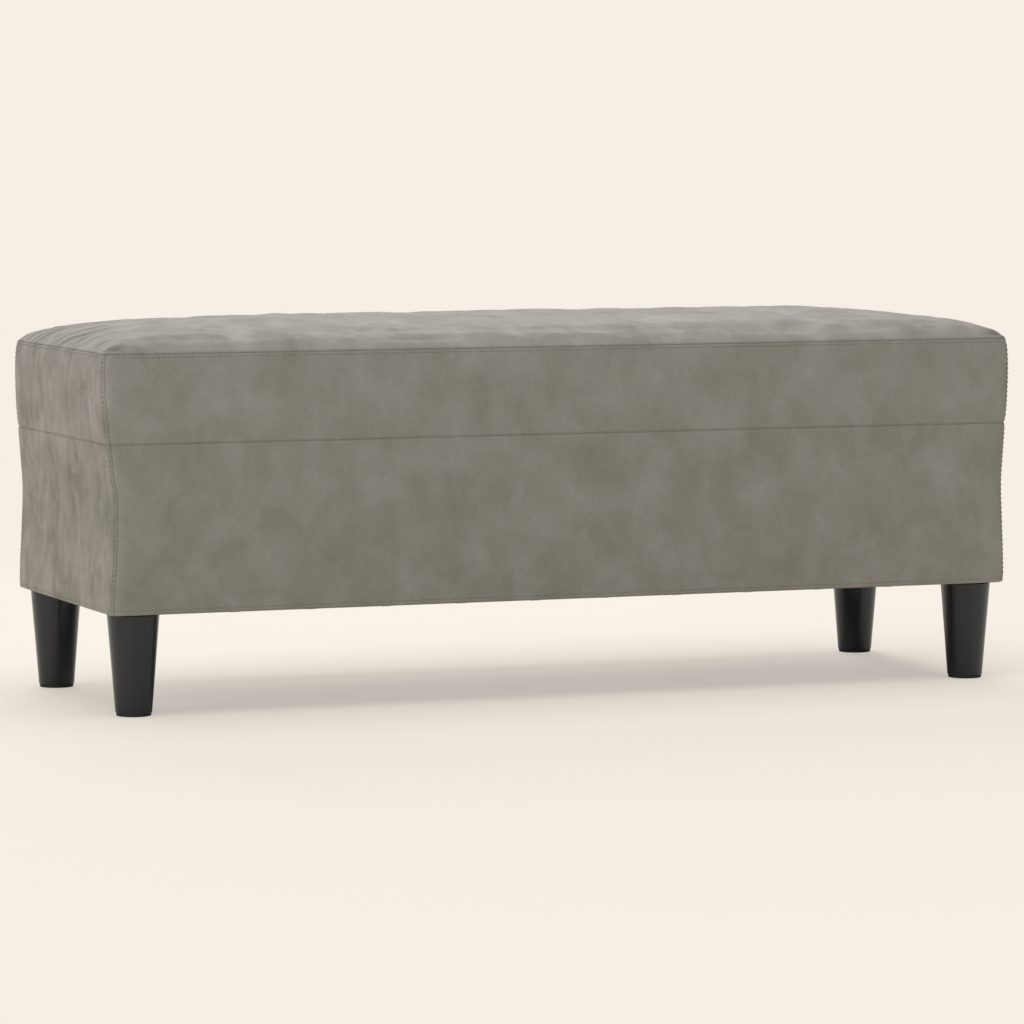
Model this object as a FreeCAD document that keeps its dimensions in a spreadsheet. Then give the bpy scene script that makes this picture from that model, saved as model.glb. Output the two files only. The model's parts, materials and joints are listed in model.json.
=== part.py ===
# An upholstered bench: a plywood box with a foam seat, a sewn velvet cover and four screw-on legs.
# Millimetres. X runs along the bench, the front faces -Y and Z is up. The origin is on the floor, under
# the middle of the bench.

import FreeCAD
import Part
import Sketcher
import os
from FreeCAD import Placement, Rotation, Vector

# Driving sizes, by the piece that they belong to
SIZES = (
    # The cover, measured outside
    ("bench_length", 998, "hem to hem along the bench"),
    ("bench_depth", 340, "hem to hem from front to back"),
    ("leg_height", 103, "floor to the underside of the body"),
    ("skirt_height", 171, "hem to waist seam"),
    ("band_height", 90, "waist seam to top seam"),
    ("crown_height", 30, "rise of the seat above the top seam"),
    ("corner_radius", 12, "rounding of the upright corners"),
    ("cover_thickness", 2, "velvet with its backing"),
    ("end_waist_pull", 4.5, "how far the cover draws in at the ends"),
    ("end_seam_swell", 0.5, "ends at the waist seam"),
    ("end_band_swell", 3.5, "ends at the fullest part of the band"),
    ("end_rim_swell", 1.0, "ends at the top seam"),
    ("side_belly_swell", 2, "front and back, halfway up the skirt"),
    ("side_seam_swell", 0.5, "front and back at the waist seam"),
    ("side_band_swell", 1.5, "front and back at the fullest part of the band"),
    ("side_rim_swell", 0.5, "front and back at the top seam"),
    ("hem_width", 26, "cover turned under the box"),
    # The padding
    ("side_foam", 7, "foam sheet and cover room around the box"),
    ("wadding_thickness", 6, "fibre layer over the seat foam"),
    ("padding_gap", 0.3, "play between the layers"),
    # The box
    ("panel_thickness", 12, "plywood walls and divider"),
    ("deck_thickness", 12, "plywood under the seat"),
    ("leg_board_thickness", 18, "board that takes the legs"),
    ("leg_board_width", 100, "along the bench"),
    ("corner_block_side", 30, "square pine block"),
    ("corner_block_height", 60, "square pine block"),
    # Countersunk wood screws
    ("screw_length", 30, "overall"),
    ("screw_shank_radius", 2, "shank"),
    ("screw_head_radius", 4, "head"),
    ("screw_head_height", 2.5, "countersink"),
    ("screw_point_length", 6, "tapered tip"),
    # Staples
    ("staple_width", 10, "crown"),
    ("staple_leg", 12, "depth driven in"),
    ("staple_wire_width", 1.2, "wire, flat way"),
    ("staple_wire_height", 0.8, "wire, thin way"),
    # The cloth under the box
    ("dust_cover_thickness", 0.8, "non-woven sheet"),
    ("dust_cover_margin", 10, "edge of the sheet inside the hem's fold"),
    ("dust_cover_hole_gap", 1, "room around a stud"),
    # The legs
    ("leg_top_radius", 26.5, "outside"),
    ("leg_foot_radius", 18.5, "outside"),
    ("leg_wall", 3.5, "moulded wall"),
    ("leg_top_plate", 6, "closed top"),
    ("leg_boss_radius", 9, "boss that grips the stud"),
    ("leg_boss_depth", 45, "below the top of the leg"),
    ("leg_edge_round", 1, "outer edges"),
    ("glide_sole", 3, "foot cap below the leg"),
    ("glide_plug", 8, "foot cap inside the leg"),
    ("glide_set_in", 0.8, "sole inside the leg's outline"),
    ("glide_gap", 0.1, "play of the plug"),
    # The studs
    ("stud_radius", 4, "machine thread, outside"),
    ("stud_in_leg", 40, "length inside the leg"),
    ("stud_clearance", 0.05, "thread play"),
    ("stud_chamfer", 1, "ends"),
    # The tee nuts
    ("tee_barrel_radius", 5, "outside"),
    ("tee_barrel_length", 11, "below the flange"),
    ("tee_flange_radius", 10, "flange"),
    ("tee_flange_thickness", 1.5, "flange"),
    ("tee_wall_gap", 2, "flange to the box walls"),
    ("prong_length", 7, "spike driven into the board"),
    ("prong_width", 2, "spike"),
    ("prong_thickness", 1.2, "spike"),
    ("prong_set_in", 1, "spike inside the flange's rim"),
    # One overrun for every cut
    ("cut_overrun", 5, "past the faces that a cut goes through"),
)

# Outlines as shares of the sizes above. Skirt: height, waist pull, belly swell, seam swell.
SKIRT_SHARES = (
    (0.00, 0.00, 0.00, 0.00),
    (0.16, 0.22, 0.45, 0.00),
    (0.38, 0.72, 0.95, 0.00),
    (0.62, 1.00, 0.95, 0.00),
    (0.84, 0.45, 0.45, 0.40),
    (1.00, 0.00, 0.00, 1.00),
)
# Band: height, seam swell, band swell, rim swell
BAND_SHARES = (
    (0.00, 1.00, 0.00, 0.00),
    (0.30, 0.30, 0.70, 0.00),
    (0.64, 0.00, 1.00, 0.00),
    (0.86, 0.00, 0.75, 0.25),
    (1.00, 0.00, 0.00, 1.00),
)
# Crown: step in from the rim as a share of half the depth, and rise
CROWN_SHARES = (
    (0.00, 0.00),
    (0.05, 0.26),
    (0.13, 0.46),
    (0.27, 0.66),
    (0.48, 0.85),
    (0.72, 0.96),
    (0.92, 1.00),
)
# How much the crown's corners open out for each step in, and the most of its half width they may take
CROWN_ROUND_SHARE = 0.3
CROWN_ROUND_LIMIT_SHARE = 0.6

# Places of the fasteners, as shares of the piece that they hold
BLOCK_SIDE_SCREW_SHARES = (0.25, 0.75)
BLOCK_END_SCREW_SHARE = 0.5
BOARD_SIDE_SCREW_SHARES = (0.45, 0.80)
BOARD_END_SCREW_SHARES = (-0.3, 0.3)
DIVIDER_SCREW_SHARES = (0.25, 0.75)
DECK_SIDE_SCREW_SHARES = (-0.75, -0.25, 0.25, 0.75)
DECK_CROSS_SCREW_SHARES = (-0.4, 0.4)
SIDE_STAPLE_SHARES = (-0.85, -0.66, -0.47, -0.28, -0.09, 0.09, 0.28, 0.47, 0.66, 0.85)
END_STAPLE_SHARES = (-0.8, 0.0, 0.8)
PRONG_COUNT = 4

CORNERS = {
    "front_left": (-1, -1),
    "front_right": (1, -1),
    "back_left": (-1, 1),
    "back_right": (1, 1),
}

doc = FreeCAD.newDocument("UpholsteredBench")
sheet = doc.addObject("Spreadsheet::Sheet", "Sizes")
for row, (alias, size, note) in enumerate(SIZES, 1):
    sheet.set(f"A{row}", alias)
    sheet.set(f"B{row}", str(size))
    sheet.setAlias(f"B{row}", alias)
    sheet.set(f"C{row}", note)
doc.recompute()

# Places worked out from the driving sizes, as expressions on the sheet
HEM_LEVEL = "(Sizes.leg_height + Sizes.dust_cover_thickness)"
BOX_BOTTOM = f"({HEM_LEVEL} + Sizes.cover_thickness)"
WAIST_LEVEL = f"({HEM_LEVEL} + Sizes.skirt_height)"
RIM_LEVEL = f"({WAIST_LEVEL} + Sizes.band_height)"
TOP_LEVEL = f"({RIM_LEVEL} + Sizes.crown_height)"
DECK_BOTTOM = f"({WAIST_LEVEL} - Sizes.deck_thickness)"
BOX_INSET = "(Sizes.cover_thickness + Sizes.side_foam)"
BOX_LENGTH = f"(Sizes.bench_length - 2 * {BOX_INSET})"
BOX_DEPTH = f"(Sizes.bench_depth - 2 * {BOX_INSET})"
PANEL_HEIGHT = f"({DECK_BOTTOM} - {BOX_BOTTOM})"
INNER_LENGTH = f"({BOX_LENGTH} - 2 * Sizes.panel_thickness)"
INNER_DEPTH = f"({BOX_DEPTH} - 2 * Sizes.panel_thickness)"
BOARD_TOP = f"({BOX_BOTTOM} + Sizes.leg_board_thickness)"
TEE_TOP = f"({BOARD_TOP} + Sizes.tee_flange_thickness)"
LEG_X = f"({INNER_LENGTH} / 2 - Sizes.tee_wall_gap - Sizes.tee_flange_radius)"
LEG_Y = f"({INNER_DEPTH} / 2 - Sizes.tee_wall_gap - Sizes.tee_flange_radius)"
BLOCK_BOTTOM = f"({DECK_BOTTOM} - Sizes.corner_block_height)"
WEDGE_MARGIN = "(Sizes.end_band_swell + Sizes.cut_overrun)"
WADDING_INSET = "(Sizes.cover_thickness + Sizes.padding_gap)"
FOAM_INSET = f"({WADDING_INSET} + Sizes.wadding_thickness + Sizes.padding_gap)"

subParts = []


def value(expression):
    return float(sheet.evalExpression(expression))


def bind(item, **expressions):
    for name, expression in expressions.items():
        item.setExpression(name, expression)
    return item


def place(item, x="0", y="0", z="0", turn=0):
    item.Placement = Placement(Vector(), Rotation(Vector(0, 0, 1), turn))
    for axis, expression in zip("xyz", (x, y, z)):
        item.setExpression(f"Placement.Base.{axis}", expression)
    return item


def sub_part(item, label):
    item.Label = label
    subParts.append(item)
    return item


def fixed_shape(name, shape):
    item = doc.addObject("Part::Feature", name)
    item.Shape = shape
    item.Placement = Placement()
    return item


def box(name, length, depth, height, x="0", y="0", z="0"):
    # x and y are the middle of the box, z is its underside
    item = bind(doc.addObject("Part::Box", name), Length=length, Width=depth, Height=height)
    return place(item, f"{x} - {length} / 2", f"{y} - {depth} / 2", z)


def cut(base, *tools):
    for tool in tools:
        item = doc.addObject("Part::Cut", base.Name + "_cut")
        item.Base = base
        item.Tool = tool
        base = item
    return base


def common(base, tool):
    item = doc.addObject("Part::Common", base.Name + "_in_" + tool.Name)
    item.Base = base
    item.Tool = tool
    return item


# Sketches and turned bodies


def origin_feature(body, role):
    return next(item for item in body.Origin.OriginFeatures if item.Role == role)


def outline_sketch(body, name, plane, outline):
    # a closed outline of straight lines, each corner held by its two distances from the origin
    sketch = body.newObject("Sketcher::SketchObject", name)
    sketch.AttachmentSupport = [(origin_feature(body, plane), "")]
    sketch.MapMode = "FlatFace"
    corners = [Vector(value(across), value(along), 0) for across, along in outline]
    for start, end in zip(corners, corners[1:] + corners[:1]):
        sketch.addGeometry(Part.LineSegment(start, end), False)
    for line, corner in enumerate(corners):
        following = (line + 1) % len(corners)
        sketch.addConstraint(Sketcher.Constraint("Coincident", line, 2, following, 1))
        for kind, distance, expression in zip(("DistanceX", "DistanceY"), corner, outline[line]):
            index = sketch.addConstraint(Sketcher.Constraint(kind, -1, 1, line, 1, distance))
            sketch.setExpression(f"Constraints[{index}]", expression)
    return sketch


def turned_body(name, outline):
    # outline corners are (radius, height); the body turns about its own Z axis
    body = doc.addObject("PartDesign::Body", name)
    profile = outline_sketch(body, name + "_profile", "XZ_Plane", outline)
    turn = body.newObject("PartDesign::Revolution", name + "_turn")
    turn.Profile = profile
    turn.ReferenceAxis = (profile, ["V_Axis"])
    turn.Angle = 360
    doc.recompute()
    return body


def round_rims(body, name, size, *rims):
    # rounds the circular edges of the given (radius, height)
    turn = body.Tip
    wanted = [Vector(value(radius), 0, value(height)) for radius, height in rims]
    edges = []
    for number, edge in enumerate(turn.Shape.Edges, 1):
        if not isinstance(edge.Curve, Part.Circle):
            continue
        rim = Vector(edge.Curve.Radius, 0, edge.Curve.Center.z)
        if any(rim.isEqual(place, Part.Precision.approximation()) for place in wanted):
            edges.append(f"Edge{number}")
    rounding = body.newObject("PartDesign::Fillet", name)
    rounding.Base = (turn, edges)
    rounding.setExpression("Radius", size)
    doc.recompute()


# Soft forms: smooth lofts through rounded rectangles of lines and quarter arcs


def rounded_rectangle(half_length, half_depth, radius, height):
    flat_x = half_length - radius
    flat_y = half_depth - radius
    diagonal = radius * 0.5 ** 0.5
    edges = []
    for sx, sy, next_sx, next_sy in ((1, -1, 1, 1), (1, 1, -1, 1), (-1, 1, -1, -1), (-1, -1, 1, -1)):
        along_x = Vector(sx * flat_x, sy * half_depth, height)
        along_y = Vector(sx * half_length, sy * flat_y, height)
        middle = Vector(sx * (flat_x + diagonal), sy * (flat_y + diagonal), height)
        first, last = (along_x, along_y) if sx == next_sx else (along_y, along_x)
        if sx == next_sx:
            following = Vector(next_sx * half_length, next_sy * flat_y, height)
        else:
            following = Vector(next_sx * flat_x, next_sy * half_depth, height)
        edges.append(Part.Arc(first, middle, last).toShape())
        edges.append(Part.LineSegment(last, following).toShape())
    return Part.Wire(edges)


def soft_block(levels, inset):
    # levels are (end swell, side swell, height); inset is taken off all round
    wires = []
    for end_swell, side_swell, height in levels:
        half_length = value("Sizes.bench_length / 2") + end_swell - inset
        half_depth = value("Sizes.bench_depth / 2") + side_swell - inset
        wires.append(rounded_rectangle(half_length, half_depth, value("Sizes.corner_radius") - inset, height))
    return Part.makeLoft(wires, True, False)


def skirt_levels():
    levels = []
    for height, pull, belly, seam in SKIRT_SHARES:
        ends = value(f"{seam} * Sizes.end_seam_swell - {pull} * Sizes.end_waist_pull")
        sides = value(f"{seam} * Sizes.side_seam_swell + {belly} * Sizes.side_belly_swell")
        levels.append((ends, sides, value(f"{HEM_LEVEL} + {height} * Sizes.skirt_height")))
    return levels


def band_levels():
    levels = []
    for height, seam, swell, rim in BAND_SHARES:
        swells = [
            value(f"{seam} * Sizes.{side}_seam_swell + {swell} * Sizes.{side}_band_swell"
                  f" + {rim} * Sizes.{side}_rim_swell")
            for side in ("end", "side")
        ]
        levels.append((*swells, value(f"{WAIST_LEVEL} + {height} * Sizes.band_height")))
    return levels


def crown_block(inset):
    # the domed seat above the top seam; inset moves it in from the rim and down from the top
    half_length = value("Sizes.bench_length / 2 + Sizes.end_rim_swell") - inset
    half_depth = value("Sizes.bench_depth / 2 + Sizes.side_rim_swell") - inset
    wires = []
    for step_share, rise_share in CROWN_SHARES:
        step = step_share * half_depth
        radius = value("Sizes.corner_radius") - inset + CROWN_ROUND_SHARE * step
        radius = min(radius, CROWN_ROUND_LIMIT_SHARE * (half_depth - step))
        height = value(f"{RIM_LEVEL} + {rise_share} * Sizes.crown_height") - inset
        wires.append(rounded_rectangle(half_length - step, half_depth - step, radius, height))
    return Part.makeLoft(wires, True, False)


# Four wedges that part the cover along the mitres of its corners


def mitre_wedge(name, across, along, turn):
    # across is the size along the wedge's own side, along is the size at right angles to it
    wedge = doc.addObject("Part::Wedge", name)
    bind(
        wedge,
        Xmin=f"-{across} / 2 - {WEDGE_MARGIN}",
        Xmax=f"{across} / 2 + {WEDGE_MARGIN}",
        Ymin=f"-{along} / 2 - {WEDGE_MARGIN}",
        Ymax=f"-{along} / 2 + Sizes.bench_depth / 4",
        X2min=f"-{across} / 2 + Sizes.bench_depth / 4",
        X2max=f"{across} / 2 - Sizes.bench_depth / 4",
        Zmin="0",
        Z2min="0",
        Zmax=f"{TOP_LEVEL} + Sizes.cut_overrun",
        Z2max=f"{TOP_LEVEL} + Sizes.cut_overrun",
    )
    return place(wedge, turn=turn)


wedges = {
    "front": mitre_wedge("front_wedge", "Sizes.bench_length", "Sizes.bench_depth", 0),
    "back": mitre_wedge("back_wedge", "Sizes.bench_length", "Sizes.bench_depth", 180),
    "left": mitre_wedge("left_wedge", "Sizes.bench_depth", "Sizes.bench_length", -90),
    "right": mitre_wedge("right_wedge", "Sizes.bench_depth", "Sizes.bench_length", 90),
}

# Screws: one turned pattern, its head at the origin and its point down, copied to each place

screw_pattern = turned_body(
    "screw_pattern",
    (
        ("0", "0"),
        ("Sizes.screw_head_radius", "0"),
        ("Sizes.screw_shank_radius", "-Sizes.screw_head_height"),
        ("Sizes.screw_shank_radius", "-Sizes.screw_length + Sizes.screw_point_length"),
        ("0", "-Sizes.screw_length"),
    ),
)

down = Rotation()
to_back = Rotation(Vector(1, 0, 0), 90)
to_front = Rotation(Vector(1, 0, 0), -90)
to_right = Rotation(Vector(0, 1, 0), -90)
to_left = Rotation(Vector(0, 1, 0), 90)


def copies(pattern, places):
    solids = []
    for point, rotation in places:
        solid = pattern.copy()
        solid.Placement = Placement(point, rotation)
        solids.append(solid)
    return Part.makeCompound(solids)


block_x = value(f"{INNER_LENGTH} / 2 - Sizes.corner_block_side / 2")
block_y = value(f"{INNER_DEPTH} / 2 - Sizes.corner_block_side / 2")
board_level = value(f"{BOX_BOTTOM} + Sizes.leg_board_thickness / 2")

side_screw_places = []
for share in BLOCK_SIDE_SCREW_SHARES:
    level = value(f"{BLOCK_BOTTOM} + {share} * Sizes.corner_block_height")
    side_screw_places += [(-block_x, level), (block_x, level)]
for share in BOARD_SIDE_SCREW_SHARES:
    board_x = value(f"{INNER_LENGTH} / 2 - {share} * Sizes.leg_board_width")
    side_screw_places += [(-board_x, board_level), (board_x, board_level)]
for share in DIVIDER_SCREW_SHARES:
    side_screw_places.append((0, value(f"{BOX_BOTTOM} + {share} * {PANEL_HEIGHT}")))

end_screw_places = []
block_end_level = value(f"{BLOCK_BOTTOM} + {BLOCK_END_SCREW_SHARE} * Sizes.corner_block_height")
for block_side in (-block_y, block_y):
    end_screw_places.append((block_side, block_end_level))
for share in BOARD_END_SCREW_SHARES:
    end_screw_places.append((value(f"{share} * {INNER_DEPTH} / 2"), board_level))

box_front = value(f"-{BOX_DEPTH} / 2")
box_left = value(f"-{BOX_LENGTH} / 2")
screw_shape = screw_pattern.Shape

front_screws = fixed_shape(
    "front_panel_screws",
    copies(screw_shape, [(Vector(x, box_front, z), to_back) for x, z in side_screw_places]),
)
back_screws = fixed_shape(
    "back_panel_screws",
    copies(screw_shape, [(Vector(x, -box_front, z), to_front) for x, z in side_screw_places]),
)
end_screws = fixed_shape(
    "end_panel_screws",
    copies(
        screw_shape,
        [(Vector(box_left, y, z), to_right) for y, z in end_screw_places]
        + [(Vector(-box_left, y, z), to_left) for y, z in end_screw_places],
    ),
)

panel_middle = value("Sizes.panel_thickness / 2")
deck_places = []
for share in DECK_SIDE_SCREW_SHARES:
    deck_x = value(f"{share} * {INNER_LENGTH} / 2")
    deck_places += [(deck_x, box_front + panel_middle), (deck_x, -box_front - panel_middle)]
for share in DECK_CROSS_SCREW_SHARES:
    deck_y = value(f"{share} * {INNER_DEPTH} / 2")
    deck_places += [(x, deck_y) for x in (box_left + panel_middle, 0, -box_left - panel_middle)]
deck_screws = fixed_shape(
    "deck_screws",
    copies(screw_shape, [(Vector(x, y, value(WAIST_LEVEL)), down) for x, y in deck_places]),
)

# Staples: through the dust cover and the hem into the lower edges of the box


def staple_shape():
    width = value("Sizes.staple_width")
    wire = value("Sizes.staple_wire_width")
    thin = value("Sizes.staple_wire_height")
    depth = value("Sizes.staple_leg")
    crown = Part.makeBox(width, wire, thin, Vector(-width / 2, -wire / 2, -thin))
    legs = [Part.makeBox(thin, wire, depth, Vector(x, -wire / 2, 0)) for x in (-width / 2, width / 2 - thin)]
    return crown.fuse(legs).removeSplitter()


across_bench = Rotation(Vector(0, 0, 1), 90)
staple_level = value("Sizes.leg_height")
staple_places = []
for share in SIDE_STAPLE_SHARES:
    staple_x = share * value(f"{LEG_X} - Sizes.leg_top_radius - Sizes.staple_width")
    for y in (box_front + panel_middle, -box_front - panel_middle):
        staple_places.append((Vector(staple_x, y, staple_level), down))
for share in END_STAPLE_SHARES:
    staple_y = share * value(f"{LEG_Y} - Sizes.leg_top_radius - Sizes.staple_width")
    for x in (box_left + panel_middle, -box_left - panel_middle):
        staple_places.append((Vector(x, staple_y, staple_level), across_bench))
hem_staples = fixed_shape("hem_staples", copies(staple_shape(), staple_places))

# Tee nuts: barrel and flange turned, four prongs in a ring; each sits on top of its leg board


def tee_nut(corner):
    name = corner + "_tee_nut"
    bore = "Sizes.stud_radius + Sizes.stud_clearance"
    body = turned_body(
        name,
        (
            (bore, "-Sizes.tee_barrel_length"),
            ("Sizes.tee_barrel_radius", "-Sizes.tee_barrel_length"),
            ("Sizes.tee_barrel_radius", "0"),
            ("Sizes.tee_flange_radius", "0"),
            ("Sizes.tee_flange_radius", "Sizes.tee_flange_thickness"),
            (bore, "Sizes.tee_flange_thickness"),
        ),
    )
    outer = "Sizes.tee_flange_radius - Sizes.prong_set_in"
    inner = f"{outer} - Sizes.prong_thickness"
    spike = outline_sketch(
        body,
        name + "_spike",
        "XY_Plane",
        (
            (inner, "-Sizes.prong_width / 2"),
            (outer, "-Sizes.prong_width / 2"),
            (outer, "Sizes.prong_width / 2"),
            (inner, "Sizes.prong_width / 2"),
        ),
    )
    prong = body.newObject("PartDesign::Pad", name + "_prong")
    prong.Profile = spike
    prong.Reversed = True
    prong.setExpression("Length", "Sizes.prong_length")
    ring = body.newObject("PartDesign::PolarPattern", name + "_prongs")
    ring.Originals = [prong]
    ring.Axis = (origin_feature(body, "Z_Axis"), [""])
    ring.Angle = 360
    ring.Occurrences = PRONG_COUNT
    body.Tip = ring
    return body


tee_nuts = {}
for corner, (sx, sy) in CORNERS.items():
    nut = tee_nut(corner)
    place(nut, f"{sx} * {LEG_X}", f"{sy} * {LEG_Y}", BOARD_TOP)
    tee_nuts[corner] = nut

# The plywood box, drilled by its own screws, staples and tee nuts

front_y = f"-({BOX_DEPTH} - Sizes.panel_thickness) / 2"
back_y = f"({BOX_DEPTH} - Sizes.panel_thickness) / 2"
left_x = f"-({BOX_LENGTH} - Sizes.panel_thickness) / 2"
right_x = f"({BOX_LENGTH} - Sizes.panel_thickness) / 2"

front_wall = box("front_wall", BOX_LENGTH, "Sizes.panel_thickness", PANEL_HEIGHT, "0", front_y, BOX_BOTTOM)
back_wall = box("back_wall", BOX_LENGTH, "Sizes.panel_thickness", PANEL_HEIGHT, "0", back_y, BOX_BOTTOM)
left_wall = box("left_wall", "Sizes.panel_thickness", INNER_DEPTH, PANEL_HEIGHT, left_x, "0", BOX_BOTTOM)
right_wall = box("right_wall", "Sizes.panel_thickness", INNER_DEPTH, PANEL_HEIGHT, right_x, "0", BOX_BOTTOM)
divider = box("divider", "Sizes.panel_thickness", INNER_DEPTH, PANEL_HEIGHT, "0", "0", BOX_BOTTOM)
deck = box("deck", BOX_LENGTH, BOX_DEPTH, "Sizes.deck_thickness", "0", "0", DECK_BOTTOM)

sub_part(cut(front_wall, front_screws, deck_screws, hem_staples), "front_panel")
sub_part(cut(back_wall, back_screws, deck_screws, hem_staples), "back_panel")
sub_part(cut(left_wall, end_screws, deck_screws, hem_staples), "left_end_panel")
sub_part(cut(right_wall, end_screws, deck_screws, hem_staples), "right_end_panel")
sub_part(cut(divider, front_screws, back_screws, deck_screws), "centre_divider")
sub_part(cut(deck, deck_screws), "seat_deck")

board_x = f"({INNER_LENGTH} - Sizes.leg_board_width) / 2"
for side, sign in (("left", -1), ("right", 1)):
    board = box(side + "_board", "Sizes.leg_board_width", INNER_DEPTH, "Sizes.leg_board_thickness",
                f"{sign} * {board_x}", "0", BOX_BOTTOM)
    for depth_side in ("front", "back"):
        corner = depth_side + "_" + side
        sx, sy = CORNERS[corner]
        drill = bind(doc.addObject("Part::Cylinder", corner + "_drill"), Radius="Sizes.tee_barrel_radius",
                     Height="Sizes.leg_board_thickness + 2 * Sizes.cut_overrun")
        place(drill, f"{sx} * {LEG_X}", f"{sy} * {LEG_Y}", f"{BOX_BOTTOM} - Sizes.cut_overrun")
        board = cut(board, drill, tee_nuts[corner])
    sub_part(cut(board, front_screws, back_screws, end_screws), side + "_leg_board")

for corner, (sx, sy) in CORNERS.items():
    block = box(corner + "_block", "Sizes.corner_block_side", "Sizes.corner_block_side",
                "Sizes.corner_block_height",
                f"{sx} * ({INNER_LENGTH} - Sizes.corner_block_side) / 2",
                f"{sy} * ({INNER_DEPTH} - Sizes.corner_block_side) / 2", BLOCK_BOTTOM)
    screws = front_screws if sy < 0 else back_screws
    sub_part(cut(block, screws, end_screws), corner + "_corner_block")

sub_part(front_screws, "front_panel_screws")
sub_part(back_screws, "back_panel_screws")
sub_part(end_screws, "end_panel_screws")
sub_part(deck_screws, "deck_screws")

# Cover: skirt with its turned-under hem, band and crowned top, sewn together at the waist and top seams

skirt_outside = fixed_shape("skirt_outside", soft_block(skirt_levels(), 0))
skirt_inside = fixed_shape("skirt_inside", soft_block(skirt_levels(), value("Sizes.cover_thickness")))
skirt_padding = fixed_shape("skirt_padding", soft_block(skirt_levels(), value(WADDING_INSET)))
band_outside = fixed_shape("band_outside", soft_block(band_levels(), 0))
band_inside = fixed_shape("band_inside", soft_block(band_levels(), value("Sizes.cover_thickness")))
band_padding = fixed_shape("band_padding", soft_block(band_levels(), value(WADDING_INSET)))
crown_outside = fixed_shape("crown_outside", crown_block(0))
crown_inside = fixed_shape("crown_inside", crown_block(value("Sizes.cover_thickness")))
wadding_outside = fixed_shape("wadding_outside", crown_block(value(WADDING_INSET)))
wadding_inside = fixed_shape(
    "wadding_inside", crown_block(value(f"{WADDING_INSET} + Sizes.wadding_thickness"))
)
foam_crown = fixed_shape("foam_crown", crown_block(value(FOAM_INSET)))

wide = f"(Sizes.bench_length + 2 * {WEDGE_MARGIN})"
deep = f"(Sizes.bench_depth + 2 * {WEDGE_MARGIN})"
hem_layer = box("hem_layer", wide, deep, "Sizes.cover_thickness + Sizes.cut_overrun", "0", "0",
                f"{HEM_LEVEL} - Sizes.cut_overrun")
hem_opening = box("hem_opening", "(Sizes.bench_length - 2 * Sizes.hem_width)",
                  "(Sizes.bench_depth - 2 * Sizes.hem_width)",
                  "Sizes.cover_thickness + 2 * Sizes.cut_overrun", "0", "0",
                  f"{HEM_LEVEL} - Sizes.cut_overrun")
box_core = box("box_core", BOX_LENGTH, BOX_DEPTH, "Sizes.skirt_height + 2 * Sizes.cut_overrun", "0", "0",
               f"{HEM_LEVEL} - Sizes.cut_overrun")

skirt_shell = cut(skirt_outside, cut(skirt_inside, hem_layer), hem_opening)
band_shell = cut(band_outside, band_inside)
side_padding = cut(skirt_padding, hem_layer, box_core)
sub_part(cut(crown_outside, crown_inside), "top_cover")
for side, wedge in wedges.items():
    sub_part(common(band_shell, wedge), side + "_band")
    sub_part(cut(common(skirt_shell, wedge), hem_staples), side + "_skirt")
    sub_part(common(side_padding, wedge), side + "_side_foam")

# Seat padding: foam block on the deck, domed on top, under a layer of wadding

foam_lid = box("foam_lid", wide, deep, f"{FOAM_INSET} + Sizes.cut_overrun", "0", "0",
               f"{RIM_LEVEL} - {FOAM_INSET}")
foam_block = doc.addObject("Part::Fuse", "foam_block")
foam_block.Base = cut(band_padding, foam_lid)
foam_block.Tool = foam_crown
sub_part(foam_block, "seat_foam")
sub_part(cut(wadding_outside, wadding_inside), "seat_wadding")

# Dust cover under the box, with a hole for each stud, and the staples that hold it with the hem

dust_sheet = box("dust_sheet", "(Sizes.bench_length - 2 * Sizes.dust_cover_margin)",
                 "(Sizes.bench_depth - 2 * Sizes.dust_cover_margin)", "Sizes.dust_cover_thickness",
                 "0", "0", "Sizes.leg_height")
for corner, (sx, sy) in CORNERS.items():
    hole = bind(doc.addObject("Part::Cylinder", corner + "_hole"),
                Radius="Sizes.stud_radius + Sizes.dust_cover_hole_gap",
                Height="Sizes.dust_cover_thickness + 2 * Sizes.cut_overrun")
    place(hole, f"{sx} * {LEG_X}", f"{sy} * {LEG_Y}", "Sizes.leg_height - Sizes.cut_overrun")
    dust_sheet = cut(dust_sheet, hole)
sub_part(cut(dust_sheet, hem_staples), "dust_cover")
sub_part(hem_staples, "hem_staples")

# Legs: hollow tapered mouldings with a boss for the stud, closed below by a foot glide

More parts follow.
